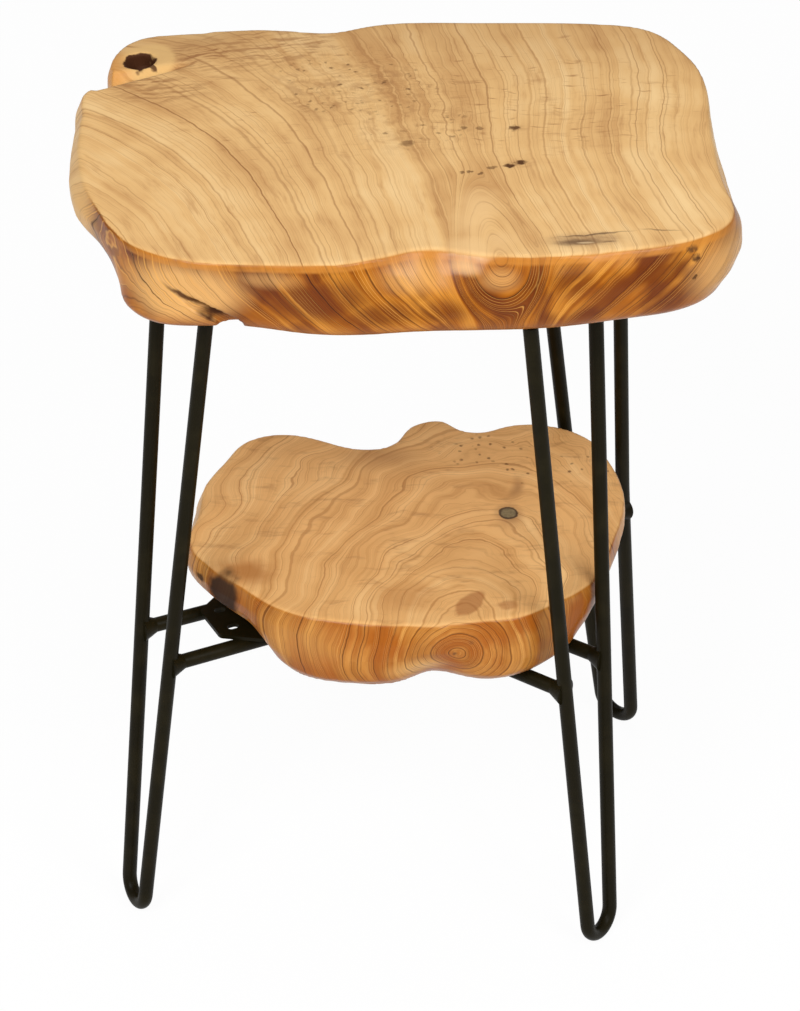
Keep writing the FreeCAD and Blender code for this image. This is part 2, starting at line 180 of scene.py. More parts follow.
class Nodes:
    """A node tree, in which a shader is written."""

    def __init__(self, tree: bpy.types.NodeTree) -> None:
        """Keep the tree."""
        self.tree = tree

    def node(self, kind: str, settings: Mapping[str, Any],
             inputs: Mapping[Union[str, int], Any]) -> bpy.types.Node:
        """Add one node.

        Args:
            kind: The node's type.
            settings: Its own settings, and a ramp's stops, set before its sockets are.
            inputs: A value, a signal or a socket for each input that isn't left alone.

        Returns:
            The node.
        """
        made = self.tree.nodes.new(kind)
        for name, value in settings.items():
            if name == "stops":
                self.set_stops(made.color_ramp, value)
            else:
                setattr(made, name, value)
        for name, value in inputs.items():
            self.feed(made.inputs[name], value)
        return made

    def signal(self, kind: str, settings: Mapping[str, Any],
               inputs: Mapping[Union[str, int], Any], output: Union[str, int] = 0) -> Signal:
        """Add one node, given as for node, and return one of its outputs as a signal."""
        return Signal(self, self.node(kind, settings, inputs).outputs[output])

    def set_stops(self, ramp: bpy.types.ColorRamp,
                  stops: Sequence[tuple[float, Colour]]) -> None:
        """Give a ramp its stops.

        Args:
            ramp: The ramp.
            stops: A place from 0 to 1 and a colour for each stop.
        """
        while len(ramp.elements) < len(stops):
            ramp.elements.new(1.0)
        for element, (place, colour) in zip(ramp.elements, stops):
            element.position = place
            element.color = colour

    def feed(self, socket: Socket, value: Any) -> None:
        """Link a signal or socket to an input, or set the input's own value.

        Args:
            socket: The input.
            value: What it gets.
        """
        if isinstance(value, Signal):
            self.tree.links.new(value.socket, socket)
        elif isinstance(value, Socket):
            self.tree.links.new(value, socket)
        else:
            socket.default_value = value


class Shader(Nodes):
    """The node tree of one material, in which a finish is written."""

    def __init__(self, name: str) -> None:
        """Make the material and keep its surface shader."""
        self.material = bpy.data.materials.new(name)
        self.material.use_nodes = True
        super().__init__(self.material.node_tree)
        self.surface = self.tree.nodes["Principled BSDF"]

    def give(self, name: str, value: Any) -> None:
        """Feed one input of the surface."""
        self.feed(self.surface.inputs[name], value)

    def place(self) -> "Ground":
        """Return the surface's own place in millimetres."""
        own = self.node("ShaderNodeTexCoord", {}, {}).outputs["Object"]
        return Ground(self, self.node("ShaderNodeVectorMath", {"operation": "SCALE"},
                                      {0: own, "Scale": 1 / MM}).outputs[0])

    def ground(self, x: Number, y: Number, z: Number) -> "Ground":
        """Return the place that three numbers or signals give."""
        return Ground(self, self.node("ShaderNodeCombineXYZ", {},
                                      {0: x, 1: y, 2: z}).outputs[0])

    def parts(self, vector: Socket) -> tuple[Signal, Signal, Signal]:
        """Return the three parts of a vector."""
        x, y, z = self.node("ShaderNodeSeparateXYZ", {}, {0: vector}).outputs
        return Signal(self, x), Signal(self, y), Signal(self, z)

    def facing(self) -> tuple[Signal, Signal, Signal]:
        """Return the three parts of the surface's normal."""
        return self.parts(self.node("ShaderNodeNewGeometry", {}, {}).outputs["Normal"])

    def ramp(self, share: Signal, stops: Sequence[tuple[float, Colour]]) -> Socket:
        """Return the colour that a ramp of stops has at a share from 0 to 1."""
        return self.node("ShaderNodeValToRGB", {"stops": stops}, {0: share}).outputs[0]

    def mix(self, share: Number, first: Any, second: Any) -> Socket:
        """Return a colour between two, at a share from 0 to 1."""
        return self.node("ShaderNodeMix", {"data_type": "RGBA"},
                         {0: share, 6: first, 7: second}).outputs[2]

    def bump(self, height: Signal, depth: float) -> Socket:
        """Return the normal of a surface with a relief of some depth in metres."""
        return self.node("ShaderNodeBump", {}, {"Strength": 1.0, "Distance": depth,
                                                "Height": height}).outputs["Normal"]


class Ground:
    """A place on a surface, as it is or moved, and what can be drawn there."""

    def __init__(self, shader: Shader, vector: Socket) -> None:
        """Keep the shader to write in and the place's vector."""
        self.shader = shader
        self.vector = vector

    def parts(self) -> tuple[Signal, Signal, Signal]:
        """Return the three parts of the place."""
        return self.shader.parts(self.vector)

    def noise(self, grain: float, detail: float = 2.0, roughness: float = 0.5) -> Signal:
        """Return soft noise from 0 to 1.

        Args:
            grain: The size of the noise's lumps, in the units of the place.
            detail: How many finer layers it has.
            roughness: How strong those layers are.

        Returns:
            The noise.
        """
        return self.shader.signal("ShaderNodeTexNoise", {"noise_dimensions": "3D"},
                                  {"Vector": self.vector, "Scale": 1 / grain,
                                   "Detail": detail, "Roughness": roughness})

    def stirred(self, grain: float, amount: float) -> "Ground":
        """Return this place moved about by noise, so that what is drawn there turns ragged.

        Args:
            grain: The size of the noise's lumps, in the units of the place.
            amount: How far the noise moves the place, in the same units.

        Returns:
            The moved place.
        """
        made = self.shader.node("ShaderNodeTexNoise", {"noise_dimensions": "3D"},
                                {"Vector": self.vector, "Scale": 1 / grain, "Detail": 2.0})
        centred = self.shader.node("ShaderNodeVectorMath", {"operation": "SUBTRACT"},
                                   {0: made.outputs["Color"], 1: (0.5, 0.5, 0.5)})
        moved = self.shader.node("ShaderNodeVectorMath", {"operation": "MULTIPLY_ADD"},
                                 {0: centred.outputs[0], 1: (amount, amount, amount),
                                  2: self.vector})
        return Ground(self.shader, moved.outputs[0])

    def boxed(self, reach: Place, turn: Place = (0, 0, 0), middle: Place = (0, 0, 0)) -> "Ground":
        """Return this place in shares of a box's reach.

        Args:
            reach: How far the box reaches from its middle.
            turn: Its turn about each axis, in radians.
            middle: Its middle.

        Returns:
            The place as seen from the box.
        """
        seen = self.shader.node("ShaderNodeMapping", {"vector_type": "TEXTURE"},
                                {"Vector": self.vector, "Location": middle,
                                 "Rotation": turn, "Scale": reach})
        return Ground(self.shader, seen.outputs[0])

    def scatter(self, spacing: float) -> tuple[Signal, Signal]:
        """Scatter small spots.

        Args:
            spacing: How far apart they are, in the units of the place.

        Returns:
            The distance to the nearest spot in shares of the spacing, and its random number.
        """
        made = self.shader.node("ShaderNodeTexVoronoi", {"voronoi_dimensions": "3D"},
                                {"Vector": self.vector, "Scale": 1 / spacing})
        number = self.shader.signal("ShaderNodeSeparateColor", {}, {0: made.outputs["Color"]})
        return Signal(self.shader, made.outputs["Distance"]), number

    def spots(self, *spots: "Spot") -> Signal:
        """Return the strongest of some spots."""
        return reduce(Signal.most, (spot.mask(self) for spot in spots))


@dataclass(frozen=True)
class Spot:
    """A round or long place on a slab, in millimetres."""

    middle: Place
    reach: Place
    turn_degrees: float = 0.0
    strength: float = 1.0
    soft: float = 0.6
    lean_degrees: float = 0.0

    def away(self, ground: Ground) -> Signal:
        """Return how far off a place is.

        Args:
            ground: The place in millimetres.

        Returns:
            The distance from the middle in shares of the reach, so 1 is the spot's edge.
        """
        turn = (0.0, math.radians(self.lean_degrees), math.radians(self.turn_degrees))
        seen = ground.boxed(self.reach, turn, self.middle)
        return ground.shader.signal("ShaderNodeVectorMath", {"operation": "LENGTH"},
                                    {0: seen.vector}, "Value")

    def mask(self, ground: Ground) -> Signal:
        """Return the spot's strength at a place, which falls to nothing at its edge."""
        return self.away(ground).fall(1 - self.soft, 1.0) * self.strength


def spot_table(*rows: Sequence[float]) -> tuple[Spot, ...]:
    """Return spots, each from a row of the three numbers of its middle and of its reach,
    and then its turn, strength, softness and lean where they aren't the usual ones."""
    return tuple(Spot(tuple(row[:3]), tuple(row[3:6]), *row[6:]) for row in rows)


@dataclass(frozen=True)
class Cloud:
    """Patches of soft noise, stretched and turned, which step in between two levels."""

    reach: Place
    step: tuple[float, float]
    detail: float = 2.0
    roughness: float = 0.5
    turn: float = 0.0
    strength: float = 1.0

    def over(self, ground: Ground) -> Signal:
        """Return the patches' strength at a place."""
        seen = ground.boxed(self.reach, (0.0, 0.0, self.turn))
        return seen.noise(1.0, self.detail, self.roughness).rise(*self.step) * self.strength


@dataclass(frozen=True)
class Ragged:
    """Spots with ragged edges: the size of the noise's lumps, and how far it stirs them."""

    lumps: float
    stir: float
    spots: tuple[Spot, ...]

    def over(self, ground: Ground) -> Signal:
        """Return the strongest of the spots at a place."""
        return ground.stirred(self.lumps, self.stir).spots(*self.spots)


@dataclass(frozen=True)
class Pips:
    """Small dark dots, stretched and scattered: their size and how rare they are."""

    stretch: Place
    spacing: float
    size: tuple[float, float]
    rarity: tuple[float, float]
    strength: float

    def over(self, ground: Ground) -> Signal:
        """Return the dots at a place."""
        away, number = ground.boxed(self.stretch).scatter(self.spacing)
        return away.fall(*self.size) * number.rise(*self.rarity) * self.strength


# Wood

@dataclass(frozen=True)
class WoodTones:
    """The colours of one slab: its flat face, its live edge, and what marks them."""

    face: tuple[Colour, Colour, Colour]
    face_line: Colour
    streak: Colour
    edge: tuple[Colour, Colour, Colour]
    edge_line: Colour
    # Pale ring lines on the live edge: partly paler grain, partly a painted glint.
    edge_glint: Colour
    amber: Colour
    # Pale wood on the live edge: partly paler wood, partly a painted highlight.
    pale_and_highlight: Colour
    # Painted shade: the orange band under the arris on the front, where the varnish shows no lamp
    # reflection.
    rim_shade: Colour
    # The darker tone of faces that point down, also used as painted shade at the foot of the live
    # edge.
    under_and_foot_shade: Colour
    smoke: Colour
    mark: Colour
    bark: Colour


@dataclass(frozen=True)
class Gloss:
    """How a slab's varnish shines on its face and on its live edge."""

    face_roughness: float = 0.42
    edge_roughness: float = 0.34
    fibre_roughness: float = 0.08
    mark_roughness: float = 0.25
    face_coat: float = 0.03
    edge_coat: float = 0.18
    coat_roughness: float = 0.20
    specular: float = 0.10


@dataclass(frozen=True)
class Levels:
    """The heights in millimetres at which a slab's edge changes."""

    # Where the painted shade band under the front arris starts.
    rim_shade: float
    # Around which the painted shade at the foot of the live edge fades in.
    foot_shade: float


@dataclass(frozen=True)
class Grain:
    """What the growth rings give at each place, all from 0 to 1."""

    tone: Signal
    lines: Signal
    close: Signal
    hair: Signal
    # Pale lines beside the close lines: partly grain, partly a painted glint.
    light: Signal
    flow: Signal
    fibre: Signal


@dataclass(frozen=True)
class LineShares:
    """How dark the rings' lines, the close lines and the hair lines are drawn."""

    rings: float
    close: float
    hair: float

    def of(self, grain: Grain) -> Signal:
        """Return the strength of all the lines together."""
        lines = grain.lines * self.rings + grain.close * self.close + grain.hair * self.hair
        return lines.least(1.0)


@dataclass(frozen=True)
class Relief:
    """How far the fibre stands out and the lines, marks and bark sink, and the depth."""

    fibre: float = 0.5
    lines: float = 0.5
    marks: float = 0.8
    bark: float = 1.2
    depth: float = 0.12 * MM


class LiveEdgeWood:
    """Varnished wood whose growth rings are the levels of one smooth field."""

    name: str
    ring_spacing: float
    ring_wander = 1.3
    wander_reach = 2.2
    band_reach = 3.4
    band_step = (0.28, 0.74)
    flow_reach = (5.5, 60.0)
    fibre_reach = (1.3, 30.0)
    cloud = Cloud((52, 52, 52), (0.25, 0.75))
    line_width = 0.075
    close_rings = 3.1
    close_width = 0.19
    hair_rings = 8.3
    hair_width = 0.34
    band_share = 0.36
    swell_share = 0.18
    cloud_share = 0.28
    flow_share = 0.40
    tone_offset = -0.14
    edge_tilt = (0.62, 0.93)
    under_tilt = (-0.9, -0.6)
    face_stops = (0.05, 0.40, 0.85)
    edge_stops = (0.14, 0.42, 0.74)
    face_lines = LineShares(0.50, 0.32, 0.16)
    edge_lines = LineShares(0.70, 0.46, 0.26)
    streak_step = (0.54, 0.74)
    streak_share = 0.42
    patch_grain = 30.0
    patch_step = (0.46, 0.68)
    amber_share = 0.88
    # How strong the pale lines are, partly paler grain and partly painted glint.
    glint_share = 0.55
    # The painted shade band under the front arris: its strength span and its height.
    rim_shade_span = (0.3, 0.95)
    rim_shade_height = 2.5
    # Painted shade towards the foot of the live edge: its reach and strength.
    foot_shade_reach = (-6.0, 7.0)
    foot_shade_share = 0.55
    smear_stir = (30.0, 14.0)
    gloss = Gloss()
    relief = Relief()
    tones: WoodTones
    levels: Levels
    flat_places: tuple[Spot, ...]
    pale_and_highlight_places: tuple[Spot, ...]
    # Pale places on the live edge: partly paler wood, partly a painted highlight.
    amber_places: tuple[Spot, ...]
    front_depth: tuple[float, float]
    front_start: tuple[float, float]
    front_share: float
    mark_stir: tuple[float, float]
    mark_places: tuple[Spot, ...]
    pips: Pips
    pip_places: tuple[Spot, ...]
    bark_patches: tuple[Ragged, ...]
    pip_crowd: Optional[Cloud] = None

    def rings(self, ground: Ground) -> tuple[Signal, Signal]:
        """Return the ring field and a measure along the rings, both in millimetres."""
        raise NotImplementedError

    def front(self, ground: Ground) -> Signal:
        """Return where the arris has its painted shade band, an orange rim on the front only, from
        0 to 1.
        """
        x, y, _ = ground.parts()
        return y.fall(*self.front_depth) * x.rise(*self.front_start) * self.front_share

    def smoke(self, ground: Ground) -> Signal:
        """Return where soft brown smears cross the face, from 0 to 1."""
        raise NotImplementedError

    def marks(self, ground: Ground) -> Signal:
        """Return how dark the eyes and the crowded pips make a place.

        Args:
            ground: The place in millimetres.

        Returns:
            The darkness from 0 to 1.
        """
        stirred = ground.stirred(*self.mark_stir)
        pips = self.pips.over(stirred) * ground.spots(*self.pip_places)
        if self.pip_crowd is not None:
            pips = pips * self.pip_crowd.over(ground)
        return stirred.spots(*self.mark_places).most(pips)

    def bark(self, ground: Ground) -> Signal:
        """Return where bark and weathered wood are left, from 0 to 1."""
        return reduce(Signal.most, (patch.over(ground) for patch in self.bark_patches))

    def knots(self, ground: Ground, colour: Socket) -> Socket:
        """Return the colour with what is drawn round the knots."""
        raise NotImplementedError

    @staticmethod
    def hairline(ring: Signal, rarity: float, width: float) -> Signal:
        """Return thin dark lines, one at the end of each ring and of random strength.

        Args:
            ring: The ring's number, whose whole steps end rings.
            rarity: From which random number, 0 to 1, a ring has its line.
            width: The line's share of its ring.

        Returns:
            The lines' strength.
        """
        within = ring.part()
        line = within.rise(1 - 1.7 * width, 1 - width) * within.fall(1 - 0.4 * width, 1.0)
        return line * ring.whole().dice().rise(rarity, 1.0)

    def grain(self, ground: Ground, height: Signal) -> Grain:
        """Write the growth rings.

        Args:
            ground: The place in millimetres.
            height: The place's height in millimetres.

        Returns:
            The rings' lines, bands and streaks.
        """
        field, along = self.rings(ground)
        ring = field / self.ring_spacing
        ring = ring + (ring.wander(self.wander_reach) - 0.5) * self.ring_wander
        wide, deep = self.flow_reach
        strands = ground.shader.ground(field / wide, along / deep, height / deep)
        flow = strands.noise(1.0, 3.0, 0.6)
        wide, deep = self.fibre_reach
        strands = ground.shader.ground(field / wide, along / deep, height / deep)
        fibre = strands.noise(1.0, 3.0)
        band = ring.wander(self.band_reach, 2.0).rise(*self.band_step)
        swell = ring.part() * (ring.whole() + 0.5).dice()
        cloud = self.cloud.over(ground)
        close = ring * self.close_rings + flow * 0.5
        # Pale lines beside the close lines: partly grain, partly a painted glint.
        within = close.part()
        light = within.rise(0.55, 0.72) * within.fall(0.72, 0.85)
        tone = band * self.band_share + swell * self.swell_share + cloud * self.cloud_share
        return Grain(
            tone=tone + flow * self.flow_share + self.tone_offset,
            lines=self.hairline(ring, 0.1, self.line_width),
            close=self.hairline(close, 0.25, self.close_width),
            hair=self.hairline(ring * self.hair_rings + fibre * 0.6, 0.2, self.hair_width),
            light=light * (ring.whole() * 3.0 + 0.3).dice().rise(0.3, 1.0),
            flow=flow, fibre=fibre)

    def write(self) -> bpy.types.Material:
        """Write the wood's shader.

        Returns:
            The material.
        """
        shader = Shader(self.name)
        tones, relief = self.tones, self.relief
        ground = shader.place()
        height = ground.parts()[2]
        up = shader.facing()[2]
        edge = up.fall(*self.edge_tilt) * (1 - ground.spots(*self.flat_places))
        grain = self.grain(ground, height)
        face = shader.mix(self.smoke(ground), self.face_colour(shader, grain), tones.smoke)
        colour = shader.mix(edge, face, self.edge_colour(ground, grain, height))
        # Darker on faces that point down.
        colour = shader.mix(up.fall(*self.under_tilt), colour, tones.under_and_foot_shade)
        colour = self.knots(ground, colour)
        marks = self.marks(ground)
        colour = shader.mix(marks, colour, tones.mark)
        bark = self.bark(ground)
        shader.give("Base Color", shader.mix(bark, colour, tones.bark))
        self.shine(shader, edge, grain.fibre, marks.most(bark))
        level = grain.fibre * relief.fibre - grain.lines * relief.lines
        level = level - marks * relief.marks - bark * relief.bark
        shader.give("Normal", shader.bump(level, relief.depth))
        return shader.material

    def face_colour(self, shader: Shader, grain: Grain) -> Socket:
        """Return the colour of the flat face.

        Args:
            shader: The shader to write in.
            grain: The growth rings.

        Returns:
            The colour.
        """
        face = shader.ramp(grain.tone, tuple(zip(self.face_stops, self.tones.face)))
        streaks = grain.flow.rise(*self.streak_step) * self.streak_share
        face = shader.mix(streaks, face, self.tones.streak)
        return shader.mix(self.face_lines.of(grain), face, self.tones.face_line)

    def edge_colour(self, ground: Ground, grain: Grain, height: Signal) -> Socket:
        """Return the colour of the live edge, with its amber patches, pale places that are partly
        painted highlight, pale lines that are partly painted glint, a painted shade band under the
        front arris and painted shade at its foot.

        Args:
            ground: The place in millimetres.
            grain: The growth rings.
            height: The place's height in millimetres.

        Returns:
            The colour.
        """
        mix, tones, levels = ground.shader.mix, self.tones, self.levels
        side = ground.shader.ramp(grain.tone, tuple(zip(self.edge_stops, tones.edge)))
        patch = ground.noise(self.patch_grain, 1.0) * 0.7 + grain.tone * 0.45
        patch = patch.rise(*self.patch_step)
        patch = patch.most(ground.spots(*self.amber_places) * grain.flow.rise(0.2, 0.52))
        side = mix(patch * self.amber_share, side, tones.amber)
        # Pale places on the live edge: partly paler wood, partly a painted highlight.
        side = mix(ground.spots(*self.pale_and_highlight_places), side,
                   mix(grain.tone * 0.5, tones.pale_and_highlight, tones.edge[0]))
        # Pale lines on the live edge: partly paler grain, partly a painted glint.
        side = mix(grain.light * self.glint_share, side, tones.edge_glint)
        side = mix(self.edge_lines.of(grain), side, tones.edge_line)
        # Painted shade: an orange band just below the arris, drawn on the front only.
        rim_shade = height.rise(levels.rim_shade, levels.rim_shade + self.rim_shade_height) * self.front(ground)
        rim_shade = rim_shade * grain.flow.rise(0.2, 0.7).scaled(*self.rim_shade_span)
        side = mix(rim_shade, side, tones.rim_shade)
        # Painted shade: the live edge turns to the darker under tone towards its foot.
        low, high = self.foot_shade_reach
        foot_shade = height.fall(levels.foot_shade + low, levels.foot_shade + high) * self.foot_shade_share
        return mix(foot_shade, side, tones.under_and_foot_shade)

    def shine(self, shader: Shader, edge: Signal, fibre: Signal, rough_places: Signal) -> None:
        """Feed the varnish's shine, glossier on the live edge and dull on the marks.

        Args:
            shader: The shader to write in.
            edge: Where the live edge is, from 0 to 1.
            fibre: The fine fibre noise.
            rough_places: The dark marks and the bark.
        """
        gloss = self.gloss
        rough = edge.scaled(gloss.face_roughness, gloss.edge_roughness)
        rough = rough + fibre * gloss.fibre_roughness + rough_places * gloss.mark_roughness
        shader.give("Roughness", rough)
        coat = edge.scaled(gloss.face_coat, gloss.edge_coat)
        shader.give("Coat Weight", coat * (1 - rough_places))
        shader.give("Coat Roughness", gloss.coat_roughness)
        shader.give("Specular IOR Level", gloss.specular)


@dataclass(frozen=True)
class Arch:
    """The cone of rings that closes round the bump at the tabletop's front."""

    middle: Place = (44.5, -182.0, 600.0)
    reach: Place = (15.4, 132.0, 42.0)
    narrowing: float = 0.095
    lean: float = 0.14
    inside: tuple[float, float] = (0.75, 1.20)
    core: float = 86.0
    rings: float = 46.0

    def over(self, field: Signal, x: Signal, y: Signal, z: Signal) -> Signal:
        """Return a ring field with the arch's own rings laid over it.

        Args:
            field: The field in millimetres.
            x: The place's first part.
            y: Its second part.
            z: Its height.

        Returns:
            The field with the arch.
        """
        arch_x = (x - self.middle[0] + y * self.lean) / (self.reach[0] - y * self.narrowing)
        arch_y = (y - self.middle[1]) / self.reach[1]
        arch_z = (z - self.middle[2]) / self.reach[2]
        away = length(arch_x, arch_y, arch_z)
        return field + away.fall(*self.inside) * (self.core - away * self.rings - field)


class TopWood(LiveEdgeWood):
    """The tabletop's wood, whose rings sweep round its front left and arch at one bump."""

    name = "top_wood_varnished"
    ring_spacing = 8.0
    levels = Levels(rim_shade=593.0, foot_shade=552.0)
    face_height = 600.0
    arch = Arch()
    left_edge = (-225.0, -125.0)
    left_end = (25.0, 75.0)
    left_lean = 0.25
    left_curl = 0.012
    right_start = (60.0, 120.0)
    right_lean = 1.2
    broad_drift = 9.0
    small_drift = 2.2
    burl_drift = 6.0
    wave_middle = 30.0
    wave_length = 42.0
    wave_height = 6.5
    wave_start = (10.0, 100.0)
    # Where the painted shade band under the arris is drawn: along the front only.
    front_depth = (-140.0, -90.0)
    front_start = (-204.0, -176.0)
    front_share = 0.85
    broad_smear = Cloud((34, 10, 30), (0.54, 0.76), 4.0, 0.66, 0.12, 0.5)
    thin_smear = Cloud((17, 3, 30), (0.60, 0.76), strength=0.85)
    worn = Cloud((19, 4, 30), (0.38, 0.64), 3.0, 0.6, 0.24)
    mottle = Cloud((9, 9, 9), (0.46, 0.70), 3.0, strength=0.5)
    back = (60.0, 190.0)
    back_share = 0.26
    mark_stir = (4.5, 7.0)
    pips = Pips((1.3, 1.3, 3), 4.2, (0.10, 0.42), (0.36, 0.5), 0.7)
    pip_crowd = Cloud((20, 20, 20), (0.42, 0.56), 1.0)
    knot_stir = (26.0, 8.0)
    check_stir = (9.0, 5.0)
    grey_reach = (9, 2.2, 4)
    grey_span = (0.35, 1.15)
    tones = WoodTones(
        face=(paint(233, 196, 139), paint(221, 177, 116), paint(190, 140, 84)),
        face_line=paint(140, 92, 48),
        streak=paint(172, 122, 72),
        edge=(paint(204, 136, 48), paint(158, 88, 8), paint(112, 52, 0)),
        edge_line=paint(62, 27, 2),
        edge_glint=paint(228, 166, 78),
        amber=paint(100, 42, 0),
        pale_and_highlight=paint(214, 168, 108),
        rim_shade=paint(194, 126, 50),
        under_and_foot_shade=paint(158, 98, 54),
        smoke=paint(150, 102, 58),
        mark=paint(86, 54, 28),
        bark=paint(74, 42, 24))
    halo_tone = paint(216, 174, 112)
    orange_tone = paint(208, 142, 66)
    quiet_tone = paint(228, 187, 130)
    nose_tone = paint(218, 164, 92)
    grey_tone = paint(140, 104, 70)
    check_tone = paint(88, 62, 40)
    slit_tone = paint(214, 184, 140)
    burl = spot_table(
        (-34, 82, 600, 84, 74, 70, 10), (10, 20, 600, 58, 58, 70, 0, 0.8))
    pip_places = burl
    swirl = Spot((-150, -184, 568), (46, 34, 26), 0, 0.8, 0.9)
    figure = spot_table(
        (95, 70, 600, 150, 130, 80), (-20, 86, 600, 100, 78, 60), (-165, 92, 600, 78, 46, 60, 22),
        (-90, 10, 600, 110, 90, 60, 0, 0.6))
    mark_places = spot_table(
        (81, 17, 600, 5, 5, 20, 10, 0.9), (77, -40, 600, 5, 4.6, 20, 20),
        (85, -35, 600, 6, 4.6, 20, 10), (64, -44, 600, 5, 2.6, 20, 10, 0.6),
        (43, -51, 600, 2.6, 2.6, 20, 0, 0.7), (49, -50, 600, 2.8, 2.4, 20, 0, 0.7),
        (56, -52, 600, 2.4, 2.6, 20, 0, 0.7), (45, 16, 600, 3.4, 4, 20, 0, 0.6),
        (56, 16, 600, 3, 3, 20, 0, 0.5), (4, -8, 600, 7, 6, 20, 0, 0.55),
        (200, -144, 593, 5, 9, 4.4, 0, 0.9), (203, -146, 587, 4, 9, 4.6),
        (203, -152, 574, 2.6, 7, 3, 0, 0.9))
    smears = spot_table(
        (122, 163, 600, 14, 9, 12, 0, 0.6, 0.9), (130, 121, 600, 20, 8, 12, 0, 0.6, 0.9),
        (99, 93, 600, 14, 6, 12, 6, 0.5, 0.9), (122, 41, 600, 30, 4, 12, 2, 0.4, 0.9),
        (82, -38, 600, 18, 10, 12, 12, 0.55, 1), (82, 17, 600, 14, 8, 12, 0, 0.45, 1),
        (-148, 130, 600, 52, 22, 14, 22, 1, 0.8), (-104, 146, 600, 80, 20, 14, 8, 0.85, 0.9),
        (-186, 84, 600, 40, 14, 14, 14, 0.95, 0.9), (-168, 60, 600, 32, 9, 14, 6, 0.85, 0.9),
        (-118, 140, 600, 112, 46, 18, 11, 0.72, 0.6), (-176, 70, 600, 54, 28, 14, 12, 0.66, 0.7),
        (-30, 88, 600, 92, 78, 14, -8, 0.34, 0.9), (4, -4, 600, 34, 26, 14, -30, 0.36, 0.9),
        (-132, 92, 600, 40, 6, 14, -12, 0.6, 0.9), (-78, 50, 600, 34, 7, 14, -52, 0.5, 0.9),
        (-200, 95, 600, 17, 2.6, 14, 26, 0.9, 0.9), (-166, 113, 600, 26, 2.4, 14, 29, 0.9, 0.9))
    # Pale places on the live edge: partly paler wood, partly a painted highlight below the arris
    # and on the sides.
    pale_and_highlight_places = spot_table(
        (-150, -182, 574, 58, 60, 30, 0, 0.95, 0.6), (-236, -40, 584, 44, 150, 34, 0, 0.85, 0.6),
        (236, 30, 584, 40, 150, 34, 0, 0.7, 0.6), (-92, -186, 588, 34, 40, 10, 0, 0.5, 0.9),
        (8, -177, 586, 34, 40, 16, 0, 0.55, 0.9), (68, -172, 585, 20, 40, 11, 0, 0.55, 0.8),
        (226, -120, 572, 44, 80, 34, 0, 0.8, 0.7))
    amber_places = spot_table(
        (-56, -188, 574, 50, 40, 22, 0, 1, 0.7), (-14, -182, 562, 50, 50, 14, 0, 0.9, 0.8),
        (28, -170, 562, 30, 60, 13, 0, 1, 0.8), (118, -166, 582, 22, 40, 18, 0, 0.9, 0.8),
        (172, -156, 580, 20, 40, 18, 0, 0.75, 0.8))
    flat_places = spot_table(
        (-190, 108, 596, 64, 34, 16, 24, 1, 0.4), (-238, -20, 588, 34, 118, 34, 6, 1, 0.5),
        (240, 40, 588, 34, 150, 34, 0, 1, 0.4))
    corner = Spot((-140, 150, 600), (110, 52, 30), 14, 0.40, 1)
    bark_patches = (
        Ragged(10, 8, spot_table(
            (-195.5, 121, 590, 13.5, 17.5, 34, 0, 1, 0.12),
            (-187, 112.5, 596, 3.6, 9, 12, 40, 0.9, 0.3))),
        Ragged(8, 4, spot_table(
            (-143.5, -183, 568, 30, 16, 3, 0, 0.92, 0.6, 31.7),
            (-126, -181, 556, 15, 14, 6, 0, 1, 0.4, 20))))
    orange = Spot((-215, 112, 592), (20, 36, 22), 0, 0.8, 0.8)
    halo = Spot((-189, 124, 600), (24, 31, 20), 0, 0.9, 0.25)
    quiet = spot_table(
        (51, -112, 604, 24, 62, 10, -8, 0.78, 0.8), (48, -160, 604, 24, 34, 10, 0, 0.85, 0.7),
        (68, -150, 604, 22, 24, 10, 0, 0.6, 0.8))
    nose = Spot((44, -184, 592), (16, 30, 8), 0, 0.75, 0.7)
    grey = Spot((126, -147, 600), (38, 14, 9), 6, 0.85, 0.8)
    slit = Spot((127, -151, 600), (8, 1.7, 7), 5, 0.62, 0.6)
    checks = spot_table(
        (133, -139, 600, 36, 1.8, 9, 11, 0.75, 0.8), (122, -150.5, 600, 22, 5, 9, 7, 0.72, 0.8),
        (143, -149, 600, 8, 2.4, 9, 10, 0.6, 0.9), (180, -132, 600, 20, 1.5, 9, -2, 0.6, 0.9))

    def rings(self, ground: Ground) -> tuple[Signal, Signal]:
        """Return the ring field of the tabletop.

        Args:
            ground: The place in millimetres.

        Returns:
            The field, and a measure along the rings, in millimetres.
        """
        x, y, z = ground.parts()
        down = self.face_height - z
        left = x.fall(*self.left_end) * x.rise(*self.left_edge)
        lean = left * (down * self.left_lean + down * down * self.left_curl)
        lean = lean - x.rise(*self.right_start) * (down * self.right_lean)
        field, across = self.sweep(x - lean, y)
        field = self.arch.over(field, x, y, z)
        broad = (ground.noise(70.0, 1.0) - 0.5) * self.broad_drift
        lively = ground.spots(*self.burl, self.swirl) * self.burl_drift + self.small_drift
        return field + broad + (ground.noise(15.0) - 0.5) * lively, across

    def sweep(self, x: Signal, y: Signal) -> tuple[Signal, Signal]:
        """Return the rings that sweep over the whole face, without the arched bump.

        The field is a polynomial of the place in steps of 200 mm, with a wave at the right.

        Args:
            x: The place's first part, in millimetres.
            y: Its second part.

        Returns:
            The field, and a measure along the rings, in millimetres.
        """
        a, b = x / 200.0, y / 200.0
        field = a * (157.0 + a * (17.0 - a * 9.0) - b * (40.0 - a * 22.0 + b * 8.0))
        field = field + b * (36.0 - b * (2.0 + b * 2.0))
        wave = ((y - self.wave_middle) / self.wave_length).sine() * self.wave_height
        field = field - wave * x.rise(*self.wave_start)
        return field, y - x * x.fall(-180.0, 60.0) * 0.9

